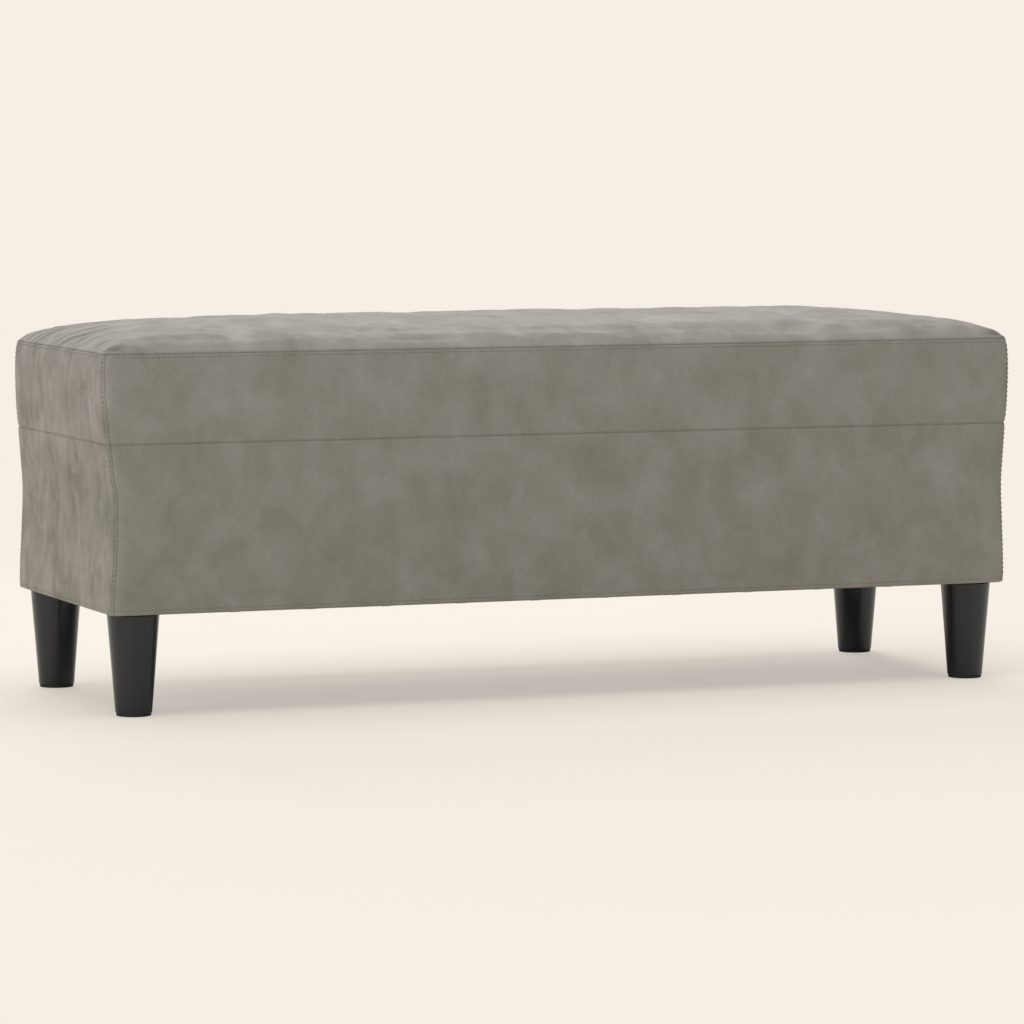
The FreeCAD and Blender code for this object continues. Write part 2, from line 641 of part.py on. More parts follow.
stud_bore = "Sizes.stud_radius + Sizes.stud_clearance"
boss_end = "Sizes.leg_height - Sizes.leg_boss_depth"
plate_under = "Sizes.leg_height - Sizes.leg_top_plate"
glide_radius = "Sizes.leg_foot_radius - Sizes.glide_set_in"
plug_radius = "Sizes.leg_foot_radius - Sizes.leg_wall - Sizes.glide_gap"
for corner, (sx, sy) in CORNERS.items():
    leg = turned_body(
        corner + "_leg",
        (
            (stud_bore, "Sizes.leg_height"),
            ("Sizes.leg_top_radius", "Sizes.leg_height"),
            ("Sizes.leg_foot_radius", "Sizes.glide_sole"),
            ("Sizes.leg_foot_radius - Sizes.leg_wall", "Sizes.glide_sole"),
            ("Sizes.leg_top_radius - Sizes.leg_wall", plate_under),
            ("Sizes.leg_boss_radius", plate_under),
            ("Sizes.leg_boss_radius", boss_end),
            (stud_bore, boss_end),
        ),
    )
    round_rims(
        leg,
        corner + "_leg_rounding",
        "Sizes.leg_edge_round",
        ("Sizes.leg_top_radius", "Sizes.leg_height"),
        ("Sizes.leg_foot_radius", "Sizes.glide_sole"),
    )
    glide = turned_body(
        corner + "_foot_glide",
        (
            ("0", "0"),
            (glide_radius, "0"),
            (glide_radius, "Sizes.glide_sole"),
            (plug_radius, "Sizes.glide_sole"),
            (plug_radius, "Sizes.glide_sole + Sizes.glide_plug"),
            ("0", "Sizes.glide_sole + Sizes.glide_plug"),
        ),
    )
    round_rims(glide, corner + "_glide_rounding", "Sizes.leg_edge_round", (glide_radius, "0"))
    stud_bottom = "Sizes.leg_height - Sizes.stud_in_leg"
    stud = turned_body(
        corner + "_leg_stud",
        (
            ("0", stud_bottom),
            ("Sizes.stud_radius - Sizes.stud_chamfer", stud_bottom),
            ("Sizes.stud_radius", f"{stud_bottom} + Sizes.stud_chamfer"),
            ("Sizes.stud_radius", f"{TEE_TOP} - Sizes.stud_chamfer"),
            ("Sizes.stud_radius - Sizes.stud_chamfer", TEE_TOP),
            ("0", TEE_TOP),
        ),
    )
    for item, label in ((leg, "leg"), (glide, "foot_glide"), (stud, "leg_stud")):
        place(item, f"{sx} * {LEG_X}", f"{sy} * {LEG_Y}")
        sub_part(item, f"{corner}_{label}")
    sub_part(tee_nuts[corner], f"{corner}_tee_nut")

# Rebuild, check and write

doc.recompute()
for item in doc.Objects:
    if "Invalid" in item.State or "Error" in item.State:
        raise RuntimeError(f"{item.Label} failed: {item.State}")
for item in subParts:
    if item.Shape.isNull() or not item.Shape.isValid() or not item.Shape.Solids:
        raise RuntimeError(f"{item.Label} has no valid solid")

os.makedirs("parts", exist_ok=True)
for item in subParts:
    item.Shape.exportStep(f"parts/{item.Label}.step")
    print(f"{item.Label}: {len(item.Shape.Solids)} solids, {item.Shape.Volume:.0f} mm3")
print(f"{len(subParts)} sub-parts written")
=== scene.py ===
import bpy
import json
import math
import random
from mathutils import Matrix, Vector, noise


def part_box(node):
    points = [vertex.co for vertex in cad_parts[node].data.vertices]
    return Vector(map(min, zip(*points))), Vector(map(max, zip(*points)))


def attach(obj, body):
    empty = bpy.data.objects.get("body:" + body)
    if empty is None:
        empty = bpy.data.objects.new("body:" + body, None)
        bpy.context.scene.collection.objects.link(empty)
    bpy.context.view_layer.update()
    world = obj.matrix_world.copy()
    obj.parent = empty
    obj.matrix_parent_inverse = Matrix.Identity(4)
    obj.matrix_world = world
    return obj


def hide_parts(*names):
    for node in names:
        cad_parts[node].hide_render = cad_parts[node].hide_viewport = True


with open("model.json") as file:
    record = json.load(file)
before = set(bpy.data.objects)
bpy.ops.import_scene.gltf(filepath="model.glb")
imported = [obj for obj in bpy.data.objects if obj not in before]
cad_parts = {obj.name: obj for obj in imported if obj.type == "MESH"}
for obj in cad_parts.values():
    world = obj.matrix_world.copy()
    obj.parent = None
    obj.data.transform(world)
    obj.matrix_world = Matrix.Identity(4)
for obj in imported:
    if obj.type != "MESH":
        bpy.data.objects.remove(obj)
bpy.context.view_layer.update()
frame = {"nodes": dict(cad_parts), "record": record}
mm = 0.001

# camera: solved from the photo's seams, hem and feet, in a frame 1024 px wide
photoView = {
    "framePx": 1024,
    "focalPx": 4982,
    "yaw": 21.58,        # degrees to the left of the front
    "pitch": 4.60,       # degrees above the floor
    "distance": 5.2935,
    "target": (-0.0027, 0.0, 0.18115),
    "sensor": 36.0,      # mm
    "clipEnd": 200.0,    # far beyond the floor's edge
}


def placeCamera(view):
    yaw, pitch = math.radians(view["yaw"]), math.radians(view["pitch"])
    ahead = Vector((math.sin(yaw) * math.cos(pitch), math.cos(yaw) * math.cos(pitch), -math.sin(pitch)))
    data = bpy.data.cameras.new("photoCamera")
    data.sensor_width = view["sensor"]
    data.lens = view["focalPx"] / view["framePx"] * view["sensor"]
    data.clip_end = view["clipEnd"]
    camera = bpy.data.objects.new("photoCamera", data)
    bpy.context.scene.collection.objects.link(camera)
    camera.location = Vector(view["target"]) - ahead * view["distance"]
    camera.rotation_mode = "QUATERNION"
    camera.rotation_quaternion = ahead.to_track_quat("-Z", "Y")
    bpy.context.scene.camera = camera


placeCamera(photoView)
print("camera placed")


# materials: colours are sRGB hex, sizes are real ones in metres
def hexLinear(code):
    channels = [int(code[i:i + 2], 16) / 255 for i in (1, 3, 5)]
    return [c / 12.92 if c <= 0.04045 else ((c + 0.055) / 1.055) ** 2.4 for c in channels] + [1.0]


def addNode(tree, kind, inputs=(), **settings):
    node = tree.nodes.new(kind)
    for name, setting in settings.items():
        setattr(node, name, setting)
    for key, given in dict(inputs).items():
        if isinstance(given, bpy.types.NodeSocket):
            tree.links.new(given, node.inputs[key])
        else:
            node.inputs[key].default_value = given
    return node


def startMaterial(name):
    material = bpy.data.materials.new(name)
    material.use_nodes = True
    material.node_tree.nodes.clear()
    return material, material.node_tree


velvetLook = {
    "napDown": "#7C7D70",      # pile brushed down: olive grey
    "napUp": "#ABA6A1",        # pile brushed up: paler, a little mauve
    "paintedShadeColour": "#5A564D",      # painted shade in the gathers, the corner puckers and beside the end seams
    "patch": 42 * mm,          # hand-brushed patches, drawn out across the seat and a little upwards
    "patchScale": (1.0, 0.55, 0.85),
    "streak": (26 * mm, 52 * mm),  # brush marks on the ends, across and along
    "contrast": (1.25, 3.2, 1.9),  # of the patches, on the long sides, the ends and the top
    "fibre": 1.6 * mm,         # pile tufts, drawn coarser than the real 0.3 mm so that they show
    "sheen": 0.38,             # pale fuzz at grazing angles
    "sheenTint": "#D4C5C7",
    "bandLevel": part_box("front_band")[0].z,    # the waist seam
    "bandShift": 0.04,         # above the waist seam the velvet is a little paler, below it darker
}


def brushedVelvet(look):
    # polyester velvet, woven and brushed: matt, mottled where hands pushed the pile, pale at grazing angles;
    # painted shade darkens the seat's gathers, corner puckers and end seams
    material, tree = startMaterial("brushedVelvet")
    place = addNode(tree, "ShaderNodeTexCoord").outputs["Object"]
    drawn = addNode(tree, "ShaderNodeMapping", {
        "Vector": place, "Scale": look["patchScale"]}).outputs[0]
    patches = addNode(tree, "ShaderNodeTexNoise", {
        "Vector": drawn, "Scale": 1 / look["patch"], "Detail": 5.0, "Roughness": 0.63, "Distortion": 0.4})
    across, along = look["streak"]
    brushed = addNode(tree, "ShaderNodeMapping", {
        "Vector": place, "Scale": (1 / across, 1 / across, 1 / along)}).outputs[0]
    streaks = addNode(tree, "ShaderNodeTexNoise", {
        "Vector": brushed, "Scale": 1.0, "Detail": 3.0, "Roughness": 0.55, "Distortion": 0.9})
    fibres = addNode(tree, "ShaderNodeTexNoise", {
        "Vector": place, "Scale": 1 / look["fibre"], "Detail": 2.0, "Roughness": 0.7})
    faced = addNode(tree, "ShaderNodeSeparateXYZ", {
        0: addNode(tree, "ShaderNodeTexCoord").outputs["Normal"]})
    onEnds = addNode(tree, "ShaderNodeMath", {0: faced.outputs["X"]}, operation="ABSOLUTE")
    streaked = addNode(tree, "ShaderNodeMapRange", {
        "Value": onEnds.outputs[0], "From Min": 0.4, "From Max": 0.9, "To Min": 0.12, "To Max": 0.5})
    laid = addNode(tree, "ShaderNodeMix", {
        0: streaked.outputs[0], 2: patches.outputs[0], 3: streaks.outputs[0]}, data_type="FLOAT")
    onSides, onEnd, onTop = look["contrast"]
    upright = addNode(tree, "ShaderNodeMapRange", {
        "Value": onEnds.outputs[0], "From Min": 0.4, "From Max": 0.9, "To Min": onSides, "To Max": onEnd})
    topped = addNode(tree, "ShaderNodeMapRange", {
        "Value": faced.outputs["Z"], "From Min": 0.5, "From Max": 0.95,
        "To Min": 0.0, "To Max": onTop - onSides})
    strength = addNode(tree, "ShaderNodeMath", {
        0: upright.outputs[0], 1: topped.outputs[0]}, operation="ADD")
    height = addNode(tree, "ShaderNodeSeparateXYZ", {0: place}).outputs["Z"]
    panelTone = addNode(tree, "ShaderNodeMapRange", {
        "Value": height, "From Min": look["bandLevel"] - mm, "From Max": look["bandLevel"] + mm,
        "To Min": 0.5 - look["bandShift"], "To Max": 0.5 + look["bandShift"]})
    centred = addNode(tree, "ShaderNodeMath", {0: laid.outputs[0], 1: -0.5}, operation="ADD")
    nap = addNode(tree, "ShaderNodeMath", {
        0: centred.outputs[0], 1: strength.outputs[0], 2: panelTone.outputs[0]},
        operation="MULTIPLY_ADD", use_clamp=True)
    colour = addNode(tree, "ShaderNodeMix", {
        0: nap.outputs[0], 6: hexLinear(look["napDown"]), 7: hexLinear(look["napUp"])}, data_type="RGBA")
    paintedShade = addNode(tree, "ShaderNodeAttribute", attribute_name="paintedShade")      # painted shade, set on the seat's top panel
    colour = addNode(tree, "ShaderNodeMix", {
        0: paintedShade.outputs["Fac"], 6: colour.outputs[2], 7: hexLinear(look["paintedShadeColour"])}, data_type="RGBA")
    tufts = addNode(tree, "ShaderNodeMapRange", {
        "Value": fibres.outputs[0], "From Min": 0.3, "From Max": 0.7, "To Min": 0.93, "To Max": 1.05})
    colour = addNode(tree, "ShaderNodeVectorMath", {
        0: colour.outputs[2], 1: tufts.outputs[0]}, operation="MULTIPLY")
    pile = addNode(tree, "ShaderNodeBump", {
        "Height": fibres.outputs[0], "Strength": 0.25, "Distance": 0.4 * mm})
    marks = addNode(tree, "ShaderNodeBump", {
        "Height": laid.outputs[0], "Strength": 0.25, "Distance": 2 * mm, "Normal": pile.outputs[0]})
    shader = addNode(tree, "ShaderNodeBsdfPrincipled", {
        "Base Color": colour.outputs[0], "Roughness": 0.92, "IOR": 1.46, "Specular IOR Level": 0.2,
        "Sheen Weight": look["sheen"], "Sheen Roughness": 0.45, "Sheen Tint": hexLinear(look["sheenTint"]),
        "Normal": marks.outputs[0]})
    addNode(tree, "ShaderNodeOutputMaterial", {"Surface": shader.outputs[0]})
    return material


def sewnYarn(name, dark, pale, roughness):
    # twisted polyester thread, darker than the pile; or the folded velvet edge in a seam, coloured darker
    # than the pile as painted shade; faintly ribbed
    material, tree = startMaterial(name)
    place = addNode(tree, "ShaderNodeTexCoord").outputs["Object"]
    ply = addNode(tree, "ShaderNodeTexNoise", {"Vector": place, "Scale": 1 / (0.9 * mm), "Detail": 1.0})
    tone = addNode(tree, "ShaderNodeMix", {
        0: ply.outputs[0], 6: hexLinear(dark), 7: hexLinear(pale)}, data_type="RGBA")
    bump = addNode(tree, "ShaderNodeBump", {
        "Height": ply.outputs[0], "Strength": 0.3, "Distance": 0.2 * mm})
    shader = addNode(tree, "ShaderNodeBsdfPrincipled", {
        "Base Color": tone.outputs[2], "Roughness": roughness, "IOR": 1.5, "Normal": bump.outputs[0]})
    addNode(tree, "ShaderNodeOutputMaterial", {"Surface": shader.outputs[0]})
    return material


def mouldedPlastic(name, dark, light, roughness, grain):
    # injection-moulded polypropylene or polyethylene: satin to matt, with the fine texture of its mould
    material, tree = startMaterial(name)
    place = addNode(tree, "ShaderNodeTexCoord").outputs["Object"]
    texture = addNode(tree, "ShaderNodeTexNoise", {"Vector": place, "Scale": 1 / grain, "Detail": 2.0})
    flow = addNode(tree, "ShaderNodeTexNoise", {"Vector": place, "Scale": 1 / (40 * mm), "Detail": 3.0})
    tone = addNode(tree, "ShaderNodeMix", {
        0: flow.outputs[0], 6: hexLinear(dark), 7: hexLinear(light)}, data_type="RGBA")
    rubbed = addNode(tree, "ShaderNodeMapRange", {
        "Value": flow.outputs[0], "To Min": roughness - 0.06, "To Max": roughness + 0.06})
    bump = addNode(tree, "ShaderNodeBump", {
        "Height": texture.outputs[0], "Strength": 0.12, "Distance": 0.15 * mm})
    shader = addNode(tree, "ShaderNodeBsdfPrincipled", {
        "Base Color": tone.outputs[2], "Roughness": rubbed.outputs[0], "IOR": 1.49,
        "Normal": bump.outputs[0]})
    addNode(tree, "ShaderNodeOutputMaterial", {"Surface": shader.outputs[0]})
    return material


def sandedWood(name, pale, dark, grainWidth, roughness):
    # rotary-cut veneer or sawn board: long soft grain along the length, dull sanded surface
    material, tree = startMaterial(name)
    place = addNode(tree, "ShaderNodeTexCoord").outputs["Object"]
    along = addNode(tree, "ShaderNodeMapping", {"Vector": place, "Scale": (0.06, 1.0, 1.0)}).outputs[0]
    grain = addNode(tree, "ShaderNodeTexNoise", {
        "Vector": along, "Scale": 1 / grainWidth, "Detail": 6.0, "Roughness": 0.65, "Distortion": 1.2})
    tone = addNode(tree, "ShaderNodeMix", {
        0: grain.outputs[0], 6: hexLinear(dark), 7: hexLinear(pale)}, data_type="RGBA")
    bump = addNode(tree, "ShaderNodeBump", {
        "Height": grain.outputs[0], "Strength": 0.2, "Distance": 0.3 * mm})
    shader = addNode(tree, "ShaderNodeBsdfPrincipled", {
        "Base Color": tone.outputs[2], "Roughness": roughness, "IOR": 1.5, "Normal": bump.outputs[0]})
    addNode(tree, "ShaderNodeOutputMaterial", {"Surface": shader.outputs[0]})
    return material


def openCellFoam(name, pale, dark, cell):
    # slabstock foam or carded fibre: matt, pitted at the size of its cells
    material, tree = startMaterial(name)
    place = addNode(tree, "ShaderNodeTexCoord").outputs["Object"]
    cells = addNode(tree, "ShaderNodeTexVoronoi", {"Vector": place, "Scale": 1 / cell})
    tone = addNode(tree, "ShaderNodeMix", {
        0: cells.outputs["Distance"], 6: hexLinear(dark), 7: hexLinear(pale)}, data_type="RGBA")
    bump = addNode(tree, "ShaderNodeBump", {
        "Height": cells.outputs["Distance"], "Strength": 0.5, "Distance": 0.8 * mm})
    shader = addNode(tree, "ShaderNodeBsdfPrincipled", {
        "Base Color": tone.outputs[2], "Roughness": 0.95, "IOR": 1.45, "Normal": bump.outputs[0]})
    addNode(tree, "ShaderNodeOutputMaterial", {"Surface": shader.outputs[0]})
    return material


def spunbondCloth():
    # black non-woven polypropylene: heat-bonded dimples in rows, dull with a slight plastic gleam
    material, tree = startMaterial("spunbondPolypropylene")
    place = addNode(tree, "ShaderNodeTexCoord").outputs["Object"]
    turned = addNode(tree, "ShaderNodeMapping", {
        "Vector": place, "Rotation": (0, 0, math.radians(45))}).outputs[0]
    dimples = addNode(tree, "ShaderNodeTexVoronoi", {
        "Vector": turned, "Scale": 1 / (2.2 * mm), "Randomness": 0.1})
    fibres = addNode(tree, "ShaderNodeTexNoise", {"Vector": place, "Scale": 1 / (1.5 * mm), "Detail": 4.0})
    tone = addNode(tree, "ShaderNodeMix", {
        0: fibres.outputs[0], 6: hexLinear("#1B1B1B"), 7: hexLinear("#2E2E2D")}, data_type="RGBA")
    bump = addNode(tree, "ShaderNodeBump", {
        "Height": dimples.outputs["Distance"], "Strength": 0.4, "Distance": 0.3 * mm})
    shader = addNode(tree, "ShaderNodeBsdfPrincipled", {
        "Base Color": tone.outputs[2], "Roughness": 0.75, "IOR": 1.49, "Normal": bump.outputs[0]})
    addNode(tree, "ShaderNodeOutputMaterial", {"Surface": shader.outputs[0]})
    return material


def zincPlatedSteel():
    # rolled steel, bright zinc plated: pale grey with a cloudy spangle
    material, tree = startMaterial("zincPlatedSteel")
    place = addNode(tree, "ShaderNodeTexCoord").outputs["Object"]
    spangle = addNode(tree, "ShaderNodeTexNoise", {"Vector": place, "Scale": 1 / (3 * mm), "Detail": 3.0})
    tone = addNode(tree, "ShaderNodeMix", {
        0: spangle.outputs[0], 6: hexLinear("#A9ABAB"), 7: hexLinear("#CDCFCE")}, data_type="RGBA")
    rough = addNode(tree, "ShaderNodeMapRange", {
        "Value": spangle.outputs[0], "To Min": 0.28, "To Max": 0.5})
    shader = addNode(tree, "ShaderNodeBsdfPrincipled", {
        "Base Color": tone.outputs[2], "Metallic": 1.0, "Roughness": rough.outputs[0]})
    addNode(tree, "ShaderNodeOutputMaterial", {"Surface": shader.outputs[0]})
    return material


velvet = brushedVelvet(velvetLook)
thread = sewnYarn("twistedPolyesterThread", "#716D62", "#8B867B", 0.6)
# the folded edge in the top seam, coloured darker than the pile: painted shade in the seam
seamFoldPaintedShade = sewnYarn("seamEdgePaintedShade", "#827E73", "#908B81", 0.9)
slotMaterials = {
    "velvet": velvet,
    "leg_plastic": mouldedPlastic("satinBlackPolypropylene", "#1A1C21", "#202327", 0.22, 0.9 * mm),
    "glide_plastic": mouldedPlastic("mattBlackPolyethylene", "#1E1E1F", "#28282A", 0.6, 1.2 * mm),
    "plywood": sandedWood("sandedPoplarPlywood", "#D9BE94", "#B8946A", 9 * mm, 0.7),
    "pine": sandedWood("sawnPine", "#E0C08A", "#BE9258", 6 * mm, 0.75),
    "foam": openCellFoam("polyurethaneSlabFoam", "#EDE3C4", "#CDBF95", 2.0 * mm),
    "wadding": openCellFoam("cardedPolyesterWadding", "#F4F3EE", "#DDDCD6", 5.0 * mm),
    "dust_cloth": spunbondCloth(),
    "zinc_steel": zincPlatedSteel(),
}
for part in frame["record"]["subparts"]:
    mesh = frame["nodes"][part["node"]].data
    mesh.materials.clear()
    mesh.materials.append(slotMaterials[part["material_slot"]])
print("materials made and given to the frame")


# pieces: the whole cover rides on the bench's own body
def newPiece(name, points, faces, material):
    mesh = bpy.data.meshes.new(name)
    mesh.from_pydata(points, [], faces)
    mesh.polygons.foreach_set("use_smooth", [True] * len(mesh.polygons))
    mesh.materials.append(material)
    mesh.update()
    piece = bpy.data.objects.new(name, mesh)
    bpy.context.scene.collection.objects.link(piece)
    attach(piece, "bench")
    return piece


def readTable(table, place):
    # smooth curve through (place, value) pairs
    last = len(table) - 1
    if place <= table[0][0]:
        return table[0][1]
    if place >= table[last][0]:
        return table[last][1]
    k = max(i for i in range(last) if table[i][0] <= place)
    (x0, y0), (x1, y1) = table[k], table[k + 1]
    rise = (y1 - y0) / (x1 - x0)
    before = (y0 - table[k - 1][1]) / (x0 - table[k - 1][0]) if k > 0 else rise
    after = (table[k + 2][1] - y1) / (table[k + 2][0] - x1) if k + 2 <= last else rise
    slopeIn = 0 if before * rise <= 0 else 2 * before * rise / (before + rise)
    slopeOut = 0 if after * rise <= 0 else 2 * after * rise / (after + rise)
    t, w = (place - x0) / (x1 - x0), x1 - x0
    return (y0 * (1 + 2 * t) * (1 - t) ** 2 + y1 * t * t * (3 - 2 * t)
            + w * slopeIn * t * (1 - t) ** 2 + w * slopeOut * t * t * (t - 1))


# the cover's outline, the same form as the solids
coverForm = {
    "halfLength": 499 * mm,
    "halfDepth": 170 * mm,
    "corner": 12 * mm,         # radius, and the least one that an inner layer keeps
    "leastCorner": 1 * mm,
    "cloth": 1.1 * mm,
    "step": 5 * mm,            # stations along the flat of a side
    "turns": 8,                # stations in half a corner, closer together beside the flat
    "crowding": 1.3,
    # height share and swell of the ends, then of the front and back
    "skirtEnds": ((0, 0), (0.16, -1.0 * mm), (0.38, -3.2 * mm), (0.62, -4.5 * mm),
                  (0.84, -1.8 * mm), (1, 0.5 * mm)),
    "skirtSides": ((0, 0), (0.16, 0.9 * mm), (0.38, 1.9 * mm), (0.62, 1.9 * mm),
                   (0.84, 1.1 * mm), (1, 0.5 * mm)),
    "bandEnds": ((0, 0.5 * mm), (0.3, 2.6 * mm), (0.64, 3.5 * mm), (0.86, 2.9 * mm), (1, 1.0 * mm)),
    "bandSides": ((0, 0.5 * mm), (0.3, 1.2 * mm), (0.64, 1.5 * mm), (0.86, 1.2 * mm), (1, 0.5 * mm)),
    "hemLevel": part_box("front_skirt")[0].z,
    "waistLevel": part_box("front_band")[0].z,
    "rimLevel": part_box("top_cover")[0].z,
    "topLevel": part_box("top_cover")[1].z,
}
sides = {"front": 0, "right": 1, "back": 2, "left": 3}     # quarter turns from the front
longSides = ("front", "back")
halfCorner = math.pi / 4       # turn from the flat of a side to its corner seam


def swells(z):
    # of the ends and of the long sides at this level
    form = coverForm
    if z < form["waistLevel"]:
        t = (z - form["hemLevel"]) / (form["waistLevel"] - form["hemLevel"])
        return readTable(form["skirtEnds"], t), readTable(form["skirtSides"], t)
    t = (z - form["waistLevel"]) / (form["rimLevel"] - form["waistLevel"])
    return readTable(form["bandEnds"], t), readTable(form["bandSides"], t)


# the sewn corners of the seat stand out or sit in a little along the bench, most at the top seam
cornerPull = {
    # by the signs of x and y
    "out": {(-1, -1): 5.5 * mm, (1, -1): -0.8 * mm, (-1, 1): -0.8 * mm, (1, 1): 2.0 * mm},
    "along": 60 * mm, "across": 45 * mm, "down": 100 * mm,    # how far it reaches
}


def pullCorner(point):
    signs = (1 if point.x > 0 else -1, 1 if point.y > 0 else -1)
    along = (coverForm["halfLength"] - abs(point.x)) / cornerPull["along"]
    across = (coverForm["halfDepth"] - abs(point.y)) / cornerPull["across"]
    down = max(0.0, coverForm["rimLevel"] - point.z) / cornerPull["down"]
    out = cornerPull["out"][signs] * math.exp(-along ** 2 - across ** 2 - down ** 2)
    return point + Vector((signs[0] * out, 0, 0))


def onCover(side, station, inset, z):
    # a point on one side of the cover: station is (turn, share), turn in the corner or share along the flat
    endSwell, sideSwell = swells(z)
    halfLength = coverForm["halfLength"] + endSwell - inset
    halfDepth = coverForm["halfDepth"] + sideSwell - inset
    radius = max(coverForm["corner"] - inset, coverForm["leastCorner"])
    reach, out = (halfLength, halfDepth) if side in longSides else (halfDepth, halfLength)
    turn, share = station
    along = (reach - radius) * (2 * share - 1) + radius * math.sin(turn)
    outward = out - radius + radius * math.cos(turn)
    x, y = along, -outward
    for _ in range(sides[side]):
        x, y = -y, x
    return pullCorner(Vector((x, y, z)))


def flatLength(side):
    # straight part of a side, between its rounded corners
    reach = coverForm["halfLength"] if side in longSides else coverForm["halfDepth"]
    return 2 * (reach - coverForm["corner"])


def sideStations(side, turns):
    # from corner seam to corner seam: half a corner, the flat, half a corner
    crowding = coverForm["crowding"]
    steps = round(flatLength(side) / coverForm["step"])
    found = [(-halfCorner * (1 - k / turns) ** crowding, 0.0) for k in range(turns)]
    found += [(0.0, k / steps) for k in range(steps + 1)]
    found += [(halfCorner * (k / turns) ** crowding, 1.0) for k in range(1, turns + 1)]
    return found


def seamDistance(side, station):
    # way along the cover to the nearer corner seam
    turn, share = station
    edge = coverForm["corner"] * (halfCorner - abs(turn))
    return edge + min(share, 1 - share) * flatLength(side)


seamLook = {
    "cornerDepth": 1.1 * mm, "cornerWidth": 1.8 * mm,
    "waistDepth": 1.0 * mm, "waistWidth": 1.5 * mm,
    "rimDepth": 0.75 * mm, "rimWidth": 0.8 * mm,
    "gap": 0.08 * mm,          # between the panels, down in the seam
    # grid lines beside a seam, and the step away from it
    "edgeSteps": (0, 0.3 * mm, 0.6 * mm, 0.9 * mm, 1.3 * mm, 1.8 * mm, 2.6 * mm, 4 * mm, 6 * mm, 8 * mm),
    "step": 6 * mm,
}


def roll(depth, width, distance):
    # how far a seam draws the cloth in, at a distance from it
    return depth * math.exp(-(distance / width) ** 2)


def heightsBetween(low, high, seamLow, seamHigh):
    # levels up a panel, close together by its seams
    edge = seamLook["edgeSteps"]
    start = low + (edge[-1] if seamLow else 0)
    end = high - (edge[-1] if seamHigh else 0)
    count = max(2, round((end - start) / seamLook["step"]))
    levels = [start + (end - start) * k / count for k in range(count + 1)]
    below = [low + e for e in edge[:-1]] if seamLow else []
    above = [high - e for e in reversed(edge[:-1])] if seamHigh else []
    return below + levels + above


# slight unevenness of stretched velvet over foam, outwards
easeLook = {
    "middle": 0.4 * mm,
    "broad": 0.7 * mm, "broadSize": (160 * mm, 90 * mm),     # along and up
    "small": 0.25 * mm, "smallSize": (45 * mm, 60 * mm),
    "sideSeed": 10.0, "smallSeed": 5,
    "fromCorner": 25 * mm, "fromWaist": 15 * mm,     # it fades towards the seams and the hem from here
    "fromRim": 12 * mm, "fromHem": 15 * mm,
}


def ease(side, along, z):
    look = easeLook
    seed = look["sideSeed"] * sides[side]
    broadLong, broadHigh = look["broadSize"]
    smallLong, smallHigh = look["smallSize"]
    broad = noise.noise(Vector((along / broadLong, z / broadHigh, seed)))
    small = noise.noise(Vector((along / smallLong, z / smallHigh, seed + look["smallSeed"])))
    return look["middle"] + broad * look["broad"] + small * look["small"]


def calmAt(seamAway, z):
    # share of the unevenness that is left near the seams and the hem
    look, form = easeLook, coverForm
    calm = min(1.0, seamAway / look["fromCorner"])
    waistAway, rimAway = abs(z - form["waistLevel"]), max(0.0, form["rimLevel"] - z)
    calm *= min(1.0, waistAway / look["fromWaist"], rimAway / look["fromRim"])
    return calm * min(1.0, max(0.0, z - form["hemLevel"]) / look["fromHem"])


def sweepPanel(name, side, outer, inner, replaced, behind):
    # a closed cloth panel: the outer and inner lines (inset, height) swept from corner seam to corner seam
    stations = sideStations(side, coverForm["turns"])
    shrink = 1 - seamLook["gap"] / coverForm["corner"] / halfCorner
    loop = outer + list(reversed(inner))
    points, faces = [], []
    for turn, share in stations:
        seamAway = seamDistance(side, (turn, share))
        tuck = roll(seamLook["cornerDepth"], seamLook["cornerWidth"], seamAway)
        shrunk = (turn * shrink, share)
        for inset, z in loop:
            smooth = onCover(side, shrunk, inset + tuck, z)
            along = smooth.x if side in longSides else smooth.y
            swell = calmAt(seamAway, z) * ease(side, along, z)
            points.append(onCover(side, shrunk, inset + tuck - swell, z))
    size = len(loop)
    for k in range(len(stations) - 1):
        for j in range(size):
            a, b = k * size + j, k * size + (j + 1) % size
            faces.append((a, a + size, b + size, b))
    end = (len(stations) - 1) * size
    for j in range(len(outer) - 1):
        a, b, c, d = j, j + 1, size - 2 - j, size - 1 - j
        faces.append((a, b, c, d))
        faces.append((end + d, end + c, end + b, end + a))
    piece = newPiece(name, points, faces, velvet)
    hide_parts(replaced)


def bandLines():
    # from the waist seam up to the top seam
    low = coverForm["waistLevel"] + seamLook["gap"]
    high = coverForm["rimLevel"] - seamLook["gap"]
    outer = []
    for z in heightsBetween(low, high, True, True):
        inset = roll(seamLook["waistDepth"], seamLook["waistWidth"], z - low)
        inset += roll(seamLook["rimDepth"], seamLook["rimWidth"], high - z)
        outer.append((inset, z))
    return outer, [(inset + coverForm["cloth"], z) for inset, z in outer]


hemLook = {
    "roll": 3.0 * mm,          # rounding of the lower edge
    "under": 26 * mm,          # cloth turned under the box
    "creaseRise": 4.2 * mm,    # line above the lower edge, where the rolled hem ends
    "creaseDepth": 0.6 * mm,
    "creaseWidth": 0.7 * mm,
    "creaseSteps": 10,         # fine levels through the crease, their spacing, and the gap above them
    "creaseStep": 0.35 * mm,
    "creaseGap": 3 * mm,
    "underSteps": 4,
    "turns": 6,
}


